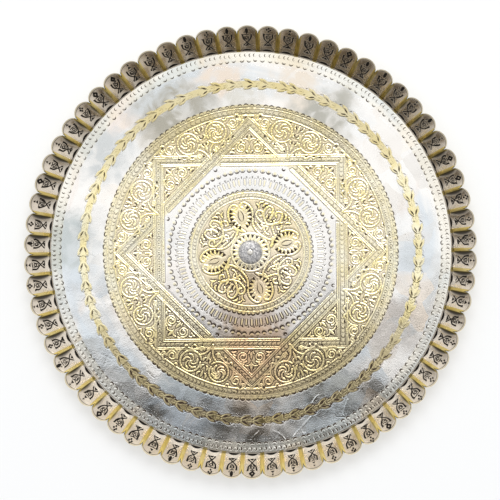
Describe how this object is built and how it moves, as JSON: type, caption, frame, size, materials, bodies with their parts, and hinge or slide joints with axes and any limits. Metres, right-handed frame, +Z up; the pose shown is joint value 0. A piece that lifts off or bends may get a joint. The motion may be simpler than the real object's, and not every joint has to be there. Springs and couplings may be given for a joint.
{
  "type": "brass tray",
  "caption": "Large round serving tray of silvered sheet brass, with a flat engraved well, a fluted and upturned rim, and a riveted centre boss.",
  "frame": {"origin": "centre of the plane that the tray rests on, the underside of the rim's flange", "axes": "+Z up out of the well, +Y through the middle of one flute of the rim"},
  "size_m": [0.4534, 0.454, 0.02],
  "materials": {
    "silvered_brass": "worn silver plate over chased brass",
    "rim_brass": "polished brass with black-filled engraving",
    "boss_pewter": "cast grey pewter, pitted",
    "rivet_brass": "tinned and hammered",
    "soft_solder": "dull, run in by hand"
  },
  "bodies": {
    "root": {"well_disc": "silvered_brass", "fluted_rim": "rim_brass", "solder_seam": "soft_solder", "centre_boss": "boss_pewter", "boss_rivet": "rivet_brass", "back_washer": "rivet_brass"}
  },
  "joints": []
}
